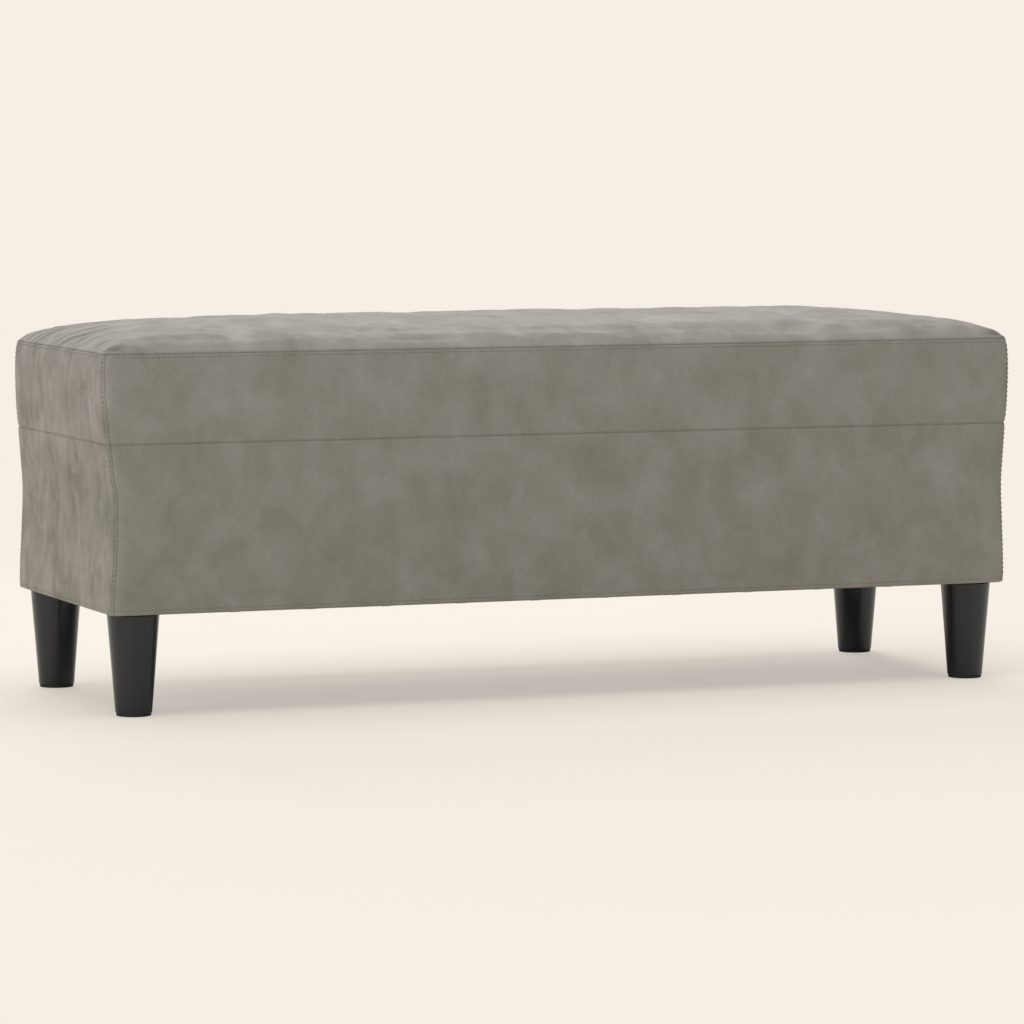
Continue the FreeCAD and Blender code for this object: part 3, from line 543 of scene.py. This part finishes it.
def skirtLines():
    # from the inner edge of the hem, round the lower edge and up to the waist seam
    bottom, bend = coverForm["hemLevel"], hemLook["roll"]
    high = coverForm["waistLevel"] - seamLook["gap"]
    cloth = coverForm["cloth"]
    under, steps = hemLook["under"], hemLook["underSteps"]
    outer = [(under - (under - bend) * k / steps, bottom) for k in range(steps)]
    inner = [(inset, bottom + cloth) for inset, _ in outer]
    innerBend = bend - cloth
    for k in range(hemLook["turns"] + 1):
        angle = math.pi / 2 * k / hemLook["turns"]
        outer.append((bend - bend * math.sin(angle), bottom + bend - bend * math.cos(angle)))
        inner.append((bend - innerBend * math.sin(angle), bottom + bend - innerBend * math.cos(angle)))
    crease = bottom + hemLook["creaseRise"]
    levels = [bottom + bend + k * hemLook["creaseStep"] for k in range(1, hemLook["creaseSteps"] + 1)]
    levels += heightsBetween(levels[-1] + hemLook["creaseGap"], high, False, True)
    for z in levels:
        inset = roll(seamLook["waistDepth"], seamLook["waistWidth"], high - z)
        inset += roll(hemLook["creaseDepth"], hemLook["creaseWidth"], z - crease)
        outer.append((inset, z))
        inner.append((inset + cloth, z))
    return outer, inner


for side in sides:
    sweepPanel(side + "Band", side, *bandLines(), side + "_band", "seat_foam")
    sweepPanel(side + "Skirt", side, *skirtLines(), side + "_skirt", side + "_side_foam")
print("band and skirt panels swept")

# the seat's top panel: crowned, puckered at the seams
seatLook = {
    # share of the way in from the seam, share of the rise
    "crown": ((0, 0), (0.02, 0.13), (0.05, 0.27), (0.13, 0.46),
              (0.27, 0.66), (0.48, 0.85), (0.72, 0.96), (1, 1.0)),
    "blend": 4.0,              # how softly the four slopes meet
    "endSlope": (0.72, 0.82),  # the ends, left and right, rise more gently than the sides
    "steps": (5 * mm, 1.4 * mm),   # grid along and across; gathers need the finer one
    "pleats": 12,              # gathers at each end seam
    "pleatDepth": 3.9 * mm,
    "pleatWidth": 2.9 * mm,
    "pleatReach": (50 * mm, 130 * mm),
    "pleatStart": 16 * mm,     # deepest this far from the seam
    "pleatShade": 1.0,         # painted shade in the valley of a gather
    "pleatSpread": 0.86,       # share of the end seam that is gathered
    "pleatShift": 0.05,        # uneven spacing and direction
    "pleatTurn": 0.2,
    "pleatLean": 0.18,         # the outer ones lean towards the middle
    "pleatUneven": (0.2, 1.0),     # their strengths; a higher bias leaves more of them faint
    "pleatBias": 1.5,
    "pleatGain": 1.4,
    "pleatFlare": (0.6, 0.6),  # width at the seam, and how much it grows inwards
    "pinch": 1.5,              # sharpness of the valley
    "ridge": 0.35,             # height of the ridges beside it, and their place
    "ridgePlace": 2.2,
    "dent": 1.0 * mm,          # broad unevenness of the crown, its length and width
    "dentSize": (150 * mm, 75 * mm),
    "dentFrom": 30 * mm,       # fades towards the seams from here
    "fold": 3.8 * mm,          # long soft folds along the seat, their length and width
    "foldSize": (170 * mm, 22 * mm),
    "foldWander": 0.4,
    "foldFrom": (60 * mm, 12 * mm),    # fade towards the end and side seams from here
    "crinkle": 0.25,           # finer folds between them
    "crinkleSize": (68 * mm, 13.2 * mm),
    "slackMiddle": 0.06,       # folds left in the middle, and how far the full ones reach from the seams
    "slackReach": 50 * mm,
    "seeds": (3.1, 8.4, 2.9),  # of the dents, folds and crinkles
    "cornerDent": 3.0 * mm,    # pucker inside each corner
    "cornerPlace": (12 * mm, 7 * mm),  # from the end and side seams
    "cornerSize": (10 * mm, 4 * mm),
    # painted shade in each corner pucker
    "cornerShade": 0.55,
    "endShade": 0.14,          # painted shade beside the end seams, and how far in
    "endReach": 70 * mm,
    "sink": 4 * mm,            # the cloth can press this far into the wadding
    "wadding": 5 * mm,
    "play": 0.3 * mm,          # between the cloth and the wadding
}


def pleatLines(look):
    # each gather: start across the seat, slant, reach and depth, at the left (-1) and right (+1) end
    draw = random.Random(7)
    shift, turn = look["pleatShift"], look["pleatTurn"]
    found = []
    for end in (-1, 1):
        for k in range(look["pleats"]):
            across = (k + 0.5) / look["pleats"] * 2 - 1
            y = (across * look["pleatSpread"] + draw.uniform(-shift, shift)) * coverForm["halfDepth"]
            slant = draw.uniform(-turn, turn) - look["pleatLean"] * across
            reach = draw.uniform(*look["pleatReach"])
            depth = look["pleatGain"] * draw.uniform(*look["pleatUneven"]) ** look["pleatBias"]
            found.append((end, y, slant, reach, depth))
    return found


pleats = pleatLines(seatLook)

clothSim = {
    "step": 7 * mm,
    "frames": 40,
    "shake": 0.3 * mm,         # uneven start, so that it can buckle
    "sewn": 1 * mm,            # points nearer to the rim are held fast
    "quality": 8,              # steps in a frame
    "mass": 0.1,               # kg at each point
    "tension": 30,
    "shear": 10,
    "spareRim": 0.04,          # spare cloth beside the seams and in the middle, as shares of its size
    "spareMiddle": 0.002,
    "spareReach": 40 * mm,
    "hold": 0.06,              # how firmly the wadding holds the cloth
    "bending": 0.08,
    "limit": 4.5 * mm,         # the padding stops the cloth here
}


def evenSteps(half, step):
    count = round(2 * half / step)
    return [-half + 2 * half * k / count for k in range(count + 1)]


def simulateSeat(sim):
    # velvet with a little spare length, sewn at the rim, on soft wadding: it settles into faint puckers
    halfX, halfY = seatHalf()
    xs, ys = evenSteps(halfX, sim["step"]), evenSteps(halfY, sim["step"])
    wide = len(xs)
    start = [seatPoint(x, y, 0.0) for y in ys for x in xs]
    draw = random.Random(11)
    shaken = [p + Vector((0, 0, draw.uniform(-sim["shake"], sim["shake"]))) for p in start]
    faces = [(a, a + 1, a + wide + 1, a + wide) for j in range(len(ys) - 1)
             for a in range(j * wide, j * wide + wide - 1)]
    mesh = bpy.data.meshes.new("seatCloth")
    mesh.from_pydata(shaken, [], faces)
    cloth = bpy.data.objects.new("seatCloth", mesh)
    bpy.context.scene.collection.objects.link(cloth)
    held = cloth.vertex_groups.new(name="held")
    spare = cloth.vertex_groups.new(name="spare")
    for j, y in enumerate(ys):
        for i, x in enumerate(xs):
            near = min(halfX - abs(x), halfY - abs(y))
            held.add([j * wide + i], 1.0 if near < sim["sewn"] else sim["hold"], "REPLACE")
            spare.add([j * wide + i], math.exp(-near / sim["spareReach"]), "REPLACE")
    modifier = cloth.modifiers.new("cloth", "CLOTH")
    settings = modifier.settings
    settings.quality = sim["quality"]
    settings.mass = sim["mass"]
    settings.tension_stiffness = sim["tension"]
    settings.compression_stiffness = sim["tension"]
    settings.shear_stiffness = sim["shear"]
    settings.bending_stiffness = sim["bending"]
    settings.vertex_group_mass = "held"
    settings.pin_stiffness = 1.0
    settings.vertex_group_shrink = "spare"
    settings.shrink_min = -sim["spareMiddle"]
    settings.shrink_max = -sim["spareRim"]
    settings.effector_weights.gravity = 0.0
    modifier.point_cache.frame_start = 1
    modifier.point_cache.frame_end = sim["frames"]
    for now in range(1, sim["frames"] + 1):
        bpy.context.scene.frame_set(now)
    solved = cloth.evaluated_get(bpy.context.evaluated_depsgraph_get()).to_mesh()
    moves = []
    for vertex, origin in zip(solved.vertices, start):
        move = vertex.co - origin
        moves.append(move * sim["limit"] / max(sim["limit"], move.length))
    lengths = sorted(m.length for m in moves)
    print("seat cloth settled, middle move", round(lengths[len(lengths) // 2] / mm, 2), "mm, most",
          round(lengths[-1] / mm, 2), "mm")
    bpy.data.objects.remove(cloth)
    bpy.context.scene.frame_set(1)
    return {"wide": wide, "deep": len(ys), "halfX": halfX, "halfY": halfY, "moves": moves}


settled = None                 # the simulation's result, once it has run


def cubicShares(t):
    # weights of four neighbours in a row, for a smooth curve through the middle two
    return (-0.5 * t + t * t - 0.5 * t ** 3, 1 - 2.5 * t * t + 1.5 * t ** 3,
            0.5 * t + 2 * t * t - 1.5 * t ** 3, -0.5 * t * t + 0.5 * t ** 3)


def clothMove(x, y):
    # how the simulated cloth moved here, smoothed between its grid points
    if settled is None:
        return Vector((0, 0, 0))
    u = (x + settled["halfX"]) / (2 * settled["halfX"]) * (settled["wide"] - 1)
    v = (y + settled["halfY"]) / (2 * settled["halfY"]) * (settled["deep"] - 1)
    i, j = min(int(u), settled["wide"] - 2), min(int(v), settled["deep"] - 2)
    total = Vector((0, 0, 0))
    for b, shareV in enumerate(cubicShares(v - j)):
        row = min(max(j + b - 1, 0), settled["deep"] - 1) * settled["wide"]
        for a, shareU in enumerate(cubicShares(u - i)):
            total += settled["moves"][row + min(max(i + a - 1, 0), settled["wide"] - 1)] * (shareU * shareV)
    return total


def gathersAt(x, y):
    # how far the gathers at the end seams lift or pinch the cloth here, and how much painted shade their
    # valleys get
    look, up, paintedShade = seatLook, 0.0, 0.0
    narrow, growth = look["pleatFlare"]
    for end, startY, slant, reach, depth in pleats:
        run = coverForm["halfLength"] - end * x
        if run < reach:
            width = look["pleatWidth"] * (narrow + growth * run / reach)
            off = (y - startY - slant * run) / width
            swell = depth * min(1.0, run / look["pleatStart"]) * (1 - run / reach)
            pinch = math.exp(-look["pinch"] * off * off)
            ridge = look["ridge"] * math.exp(-(abs(off) - look["ridgePlace"]) ** 2)
            up += look["pleatDepth"] * swell * (ridge - pinch)
            paintedShade += swell * pinch
    return up, paintedShade


def cornerPucker(rimX, rimY):
    # 1 in the pucker inside a corner, 0 away from it
    offX = (rimX - seatLook["cornerPlace"][0]) / seatLook["cornerSize"][0]
    offY = (rimY - seatLook["cornerPlace"][1]) / seatLook["cornerSize"][1]
    return math.exp(-offX * offX - offY * offY)


def paintedShadeAt(x, y):
    # share of painted shade: in the gathers, the corner puckers and beside the end seams
    look = seatLook
    halfX, halfY = seatHalf()
    rimX, rimY = halfX - abs(x), halfY - abs(y)
    paintedShade = look["pleatShade"] * gathersAt(x, y)[1] + look["cornerShade"] * cornerPucker(rimX, rimY)
    return min(1.0, paintedShade + look["endShade"] * math.exp(-(rimX / look["endReach"]) ** 2))


def seatRelief(x, y, rimX, rimY):
    # gathers, folds and dents of the cloth, up from the smooth crown
    look = seatLook
    up = gathersAt(x, y)[0]
    dentSeed, foldSeed, crinkleSeed = look["seeds"]
    dentLong, dentWide = look["dentSize"]
    broad = noise.noise(Vector((x / dentLong, y / dentWide, dentSeed)))
    up += min(1.0, min(rimX, rimY) / look["dentFrom"]) * look["dent"] * broad
    foldLong, foldWide = look["foldSize"]
    fold = noise.noise(Vector((x / foldLong + look["foldWander"] * broad, y / foldWide, foldSeed)))
    fineLong, fineWide = look["crinkleSize"]
    crinkle = noise.noise(Vector((x / fineLong, y / fineWide + broad, crinkleSeed)))
    slack = look["slackMiddle"] + (1 - look["slackMiddle"]) * math.exp(-(rimY / look["slackReach"]) ** 2)
    fromEnd, fromSide = look["foldFrom"]
    calm = min(1.0, rimY / fromSide, rimX / fromEnd)
    up += calm * look["fold"] * slack * (fold + look["crinkle"] * crinkle)
    return up - look["cornerDent"] * cornerPucker(rimX, rimY)


def seatHalf():
    # half the seat's length and depth at the top seam
    return (coverForm["halfLength"] + coverForm["bandEnds"][-1][1],
            coverForm["halfDepth"] + coverForm["bandSides"][-1][1])


def axisSteps(half, step):
    # positions from edge to edge, close together by the seams
    edge = seamLook["edgeSteps"]
    inside = half - edge[-1]
    count = round(2 * inside / step)
    middle = [-inside + 2 * inside * k / count for k in range(1, count)]
    return [-half + e for e in edge] + middle + [half - e for e in reversed(edge)]


def seatPoint(x, y, drop, ruffled=True):
    # x and y on a square-cornered plan; the corners are rounded and the crown lifted here
    halfX, halfY = seatHalf()
    radius = coverForm["corner"]
    rimX, rimY = halfX - abs(x), halfY - abs(y)
    near = 0.0
    if rimX > 0 and rimY > 0:
        blend = seatLook["blend"]
        endSlope = seatLook["endSlope"][0 if x < 0 else 1]
        near = ((rimX * endSlope) ** -blend + rimY ** -blend) ** (-1 / blend)
    z = coverForm["rimLevel"] + seamLook["gap"]
    z += (coverForm["topLevel"] - coverForm["rimLevel"]) * readTable(seatLook["crown"], near / halfY)
    move = clothMove(x, y) if ruffled else Vector((0, 0, 0))
    relief = seatRelief(x, y, rimX, rimY) if ruffled else 0.0
    z += max(relief + move.z, -seatLook["sink"]) - drop
    px, py = abs(x), abs(y)
    cx, cy = (px - halfX + radius) / radius, (py - halfY + radius) / radius
    if cx > 0 and cy > 0:
        px = halfX - radius + radius * cx * math.sqrt(1 - cy * cy / 2)
        py = halfY - radius + radius * cy * math.sqrt(1 - cx * cx / 2)
    tuck = roll(seamLook["rimDepth"], seamLook["rimWidth"], near) + drop
    px *= 1 - tuck / halfX
    py *= 1 - tuck / halfY
    return pullCorner(Vector((math.copysign(px, x) + move.x, math.copysign(py, y) + move.y, z)))


def domedLayer(name, upper, lower, material, replaced, ruffledBelow):
    # a closed layer that follows the seat between two depths under its surface
    xs, ys = (axisSteps(half, step) for half, step in zip(seatHalf(), seatLook["steps"]))
    wide, deep = len(xs), len(ys)
    points = [seatPoint(x, y, upper) for y in ys for x in xs]
    points += [seatPoint(x, y, lower, ruffledBelow) for y in ys for x in xs]
    under = wide * deep
    faces = []
    for j in range(deep - 1):
        for i in range(wide - 1):
            a = j * wide + i
            faces.append((a, a + 1, a + wide + 1, a + wide))
            faces.append((under + a + wide, under + a + wide + 1, under + a + 1, under + a))
    rim = list(range(wide)) + [j * wide + wide - 1 for j in range(1, deep)]
    rim += [(deep - 1) * wide + i for i in range(wide - 2, -1, -1)]
    rim += [j * wide for j in range(deep - 2, 0, -1)]
    for a, b in zip(rim, rim[1:] + rim[:1]):
        faces.append((b, a, under + a, under + b))
    piece = newPiece(name, points, faces, material)
    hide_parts(replaced)
    # painted shade for the velvet, kept at each point
    paintedShade = [paintedShadeAt(x, y) for y in ys for x in xs]
    piece.data.attributes.new("paintedShade", "FLOAT", "POINT").data.foreach_set("value", paintedShade + paintedShade)
    return piece


settled = simulateSeat(clothSim)
topPanel = domedLayer("topPanel", 0.0, coverForm["cloth"], velvet, "top_cover", True)
waddingTop = coverForm["cloth"] + seatLook["play"]      # pressed by the cloth above, smooth on the foam below
wadding = domedLayer("seatWadding", waddingTop, waddingTop + seatLook["wadding"], slotMaterials["wadding"],
                     "seat_wadding", False)
print("seat crowned and gathered")

# topstitching: separate stitches of thread along the top seam and beside the corner seams
stitchLook = {
    "pitch": 5.6 * mm, "length": 4.0 * mm, "thick": 0.85 * mm,
    "belowRim": {"front": 3.3 * mm, "back": 3.3 * mm, "left": 2.8 * mm, "right": 2.8 * mm},
    "besideCorner": 3.4 * mm, "cornerPitch": 5.0 * mm, "cornerThick": 1.15 * mm,
    "cornerLength": 3.36 * mm, "cornerInset": 0.1 * mm,
    "aboveHem": 8 * mm, "underRim": 5 * mm, "byWaist": 4 * mm,     # the corner rows keep clear of other seams
    "seamThick": 0.7 * mm, "seamInset": 0.6 * mm, "seamTurns": 4,  # folded edge in the top seam
    "rise": 0.45, "sunk": 0.2,     # of the thread's thickness, over the cloth and into it
    "endGirth": 0.55,              # the thread narrows where it dives
    "sidesRound": 6, "rings": 5,
    "probe": 1 * mm,               # step that finds the way out of the cover
}


def outwardAt(side, station, inset, z):
    # direction out of the cover
    return (onCover(side, station, inset, z)
            - onCover(side, station, inset + stitchLook["probe"], z)).normalized()


def addTube(faces, first, rings, count):
    # walls between the rings of a tube, and its two ends
    for r in range(rings - 1):
        for k in range(count):
            a, b = first + r * count + k, first + r * count + (k + 1) % count
            faces.append((a, b, b + count, a + count))
    last = first + (rings - 1) * count
    faces.append(tuple(first + k for k in reversed(range(count))))
    faces.append(tuple(last + k for k in range(count)))


def addStitch(points, faces, start, end, lift, thick):
    # one thread stitch: a tube that dives into the cloth at both ends
    look = stitchLook
    along = (end - start).normalized()
    across = along.cross(lift).normalized()
    count = look["sidesRound"]
    addTube(faces, len(points), look["rings"], count)
    for r in range(look["rings"]):
        t = r / (look["rings"] - 1)
        arch = math.sin(math.pi * t)
        centre = start.lerp(end, t) + lift * thick * (look["rise"] * arch - look["sunk"])
        girth = thick / 2 * (look["endGirth"] + (1 - look["endGirth"]) * arch)
        for k in range(count):
            a = 2 * math.pi * k / count
            points.append(centre + across * girth * math.cos(a) + lift * girth * math.sin(a))


def rimSeam(side):
    # the folded edge of the two cloths down in the top seam, coloured darker than the pile: a painted shade
    # line
    look, points, faces = stitchLook, [], []
    stations = sideStations(side, look["seamTurns"])
    count = look["sidesRound"]
    addTube(faces, 0, len(stations), count)
    for station in stations:
        centre = onCover(side, station, look["seamInset"], coverForm["rimLevel"])
        out = outwardAt(side, station, look["seamInset"], coverForm["rimLevel"])
        for k in range(count):
            a = 2 * math.pi * k / count
            points.append(centre + (out * math.cos(a) + Vector((0, 0, math.sin(a)))) * look["seamThick"] / 2)
    newPiece(side + "RimSeam", points, faces, seamFoldPaintedShade)


def rimStitches(side):
    # a row just below the top seam
    look, points, faces = stitchLook, [], []
    z = coverForm["rimLevel"] - look["belowRim"][side]
    flat = flatLength(side)
    half = look["length"] / 2 / flat
    count = round(flat / look["pitch"])
    for k in range(count):
        share = (k + 0.5) / count
        start, end = (onCover(side, (0.0, share + s * half), 0.0, z) for s in (-1, 1))
        lift = outwardAt(side, (0.0, share), 0.0, z)
        addStitch(points, faces, start, end, lift, look["thick"])
    newPiece(side + "RimStitches", points, faces, thread)


def cornerStitches(side):
    # rows beside both corner seams of an end, where the seams are sewn down
    look, points, faces = stitchLook, [], []
    turn = halfCorner - look["besideCorner"] / coverForm["corner"]
    low = coverForm["hemLevel"] + look["aboveHem"]
    high = coverForm["rimLevel"] - look["underRim"]
    half = look["cornerLength"] / 2
    count = round((high - low) / look["cornerPitch"])
    for station in ((-turn, 0.0), (turn, 1.0)):
        for k in range(count):
            z = low + (high - low) * (k + 0.5) / count
            if abs(z - coverForm["waistLevel"]) < look["byWaist"]:
                continue
            start, end = (onCover(side, station, look["cornerInset"], z + s * half) for s in (-1, 1))
            lift = outwardAt(side, station, 0.0, z)
            addStitch(points, faces, start, end, lift, look["cornerThick"])
    newPiece(side + "CornerStitches", points, faces, thread)


for side in sides:
    rimSeam(side)
    rimStitches(side)
for side in ("left", "right"):
    cornerStitches(side)
print("seams topstitched")

# stage: pale floor that fades into the background, soft studio light
stageLook = {
    "cream": "#F6EFE5",
    "paint": "#EEE7DC",        # the floor under the lamps
    "size": 60.0,
    "level": -0.2 * mm,        # a hair under the feet
    "shadowFrom": 0.75, "shadowTo": 1.9,   # radius where the floor's own shading fades out
    "nearGlow": 0.52,          # share of plain cream beside the bench
    "ambient": 0.18,
    "lampAim": (0.0, 0.0, 0.25),
}


def creamFloor(look):
    # painted studio floor: pale and matt, soft shadow under the bench, no visible edge
    material, tree = startMaterial("creamStudioFloor")
    place = addNode(tree, "ShaderNodeTexCoord").outputs["Object"]
    flat = addNode(tree, "ShaderNodeVectorMath", {0: place, 1: (1.0, 1.0, 0.0)}, operation="MULTIPLY")
    away = addNode(tree, "ShaderNodeVectorMath", {0: flat.outputs[0]}, operation="LENGTH")
    fade = addNode(tree, "ShaderNodeMapRange", {
        "Value": away.outputs["Value"], "From Min": look["shadowFrom"], "From Max": look["shadowTo"],
        "To Min": look["nearGlow"], "To Max": 1.0}, interpolation_type="SMOOTHSTEP")
    seen = addNode(tree, "ShaderNodeLightPath").outputs["Is Camera Ray"]
    glow = addNode(tree, "ShaderNodeMath", {0: fade.outputs[0], 1: seen}, operation="MULTIPLY")
    lit = addNode(tree, "ShaderNodeBsdfDiffuse", {"Color": hexLinear(look["paint"])})
    own = addNode(tree, "ShaderNodeEmission", {"Color": hexLinear(look["cream"]), "Strength": 1.0})
    mixed = addNode(tree, "ShaderNodeMixShader", {
        0: glow.outputs[0], 1: lit.outputs[0], 2: own.outputs[0]})
    below = addNode(tree, "ShaderNodeNewGeometry").outputs["Backfacing"]    # see-through from below
    clear = addNode(tree, "ShaderNodeBsdfTransparent")
    oneSided = addNode(tree, "ShaderNodeMixShader", {0: below, 1: mixed.outputs[0], 2: clear.outputs[0]})
    addNode(tree, "ShaderNodeOutputMaterial", {"Surface": oneSided.outputs[0]})
    return material


def layFloor(look):
    half = look["size"] / 2
    mesh = bpy.data.meshes.new("studioFloor")
    corners = [(-half, -half, 0), (half, -half, 0), (half, half, 0), (-half, half, 0)]
    mesh.from_pydata(corners, [], [(0, 1, 2, 3)])
    mesh.materials.append(creamFloor(look))
    floor = bpy.data.objects.new("studioFloor", mesh)
    floor.location.z = look["level"]
    bpy.context.scene.collection.objects.link(floor)


def lightWorld(look):
    # plain cream behind the bench, dim white light from all around
    world = bpy.data.worlds.new("creamStudio")
    world.use_nodes = True
    tree = world.node_tree
    tree.nodes.clear()
    seen = addNode(tree, "ShaderNodeLightPath").outputs["Is Camera Ray"]
    ambient = addNode(tree, "ShaderNodeBackground", {
        "Color": (1.0, 1.0, 1.0, 1.0), "Strength": look["ambient"]})
    shown = addNode(tree, "ShaderNodeBackground", {"Color": hexLinear(look["cream"]), "Strength": 1.0})
    mixed = addNode(tree, "ShaderNodeMixShader", {0: seen, 1: ambient.outputs[0], 2: shown.outputs[0]})
    addNode(tree, "ShaderNodeOutputWorld", {"Surface": mixed.outputs[0]})
    bpy.context.scene.world = world


softboxes = {
    # name: place, width and height, power in watts
    "keySoftbox": ((-5.2, -1.9, 3.2), (3.0, 3.0), 71.0),
    "topSoftbox": ((0.0, 0.0, 5.2), (6.0, 6.0), 230.0),
    "fillSoftbox": ((3.6, -4.2, 2.0), (2.6, 2.6), 16.0),
    "frontStrip": ((-3.3, -3.9, 0.9), (0.25, 1.7), 18.0),     # tall and narrow, for a gleam down the legs
    "rearSoftbox": ((0.8, 5.0, 3.4), (3.0, 3.0), 165.0),
}


def hangSoftboxes(boxes, target):
    for name, (place, size, power) in boxes.items():
        data = bpy.data.lights.new(name, "AREA")
        data.shape = "RECTANGLE"
        data.size, data.size_y = size
        data.energy = power
        lamp = bpy.data.objects.new(name, data)
        bpy.context.scene.collection.objects.link(lamp)
        lamp.location = place
        aim = Vector(target) - Vector(place)
        lamp.rotation_mode = "QUATERNION"
        lamp.rotation_quaternion = aim.to_track_quat("-Z", "Y")


layFloor(stageLook)
lightWorld(stageLook)
hangSoftboxes(softboxes, stageLook["lampAim"])
bpy.context.scene.view_settings.view_transform = "Standard"
print("stage lit")
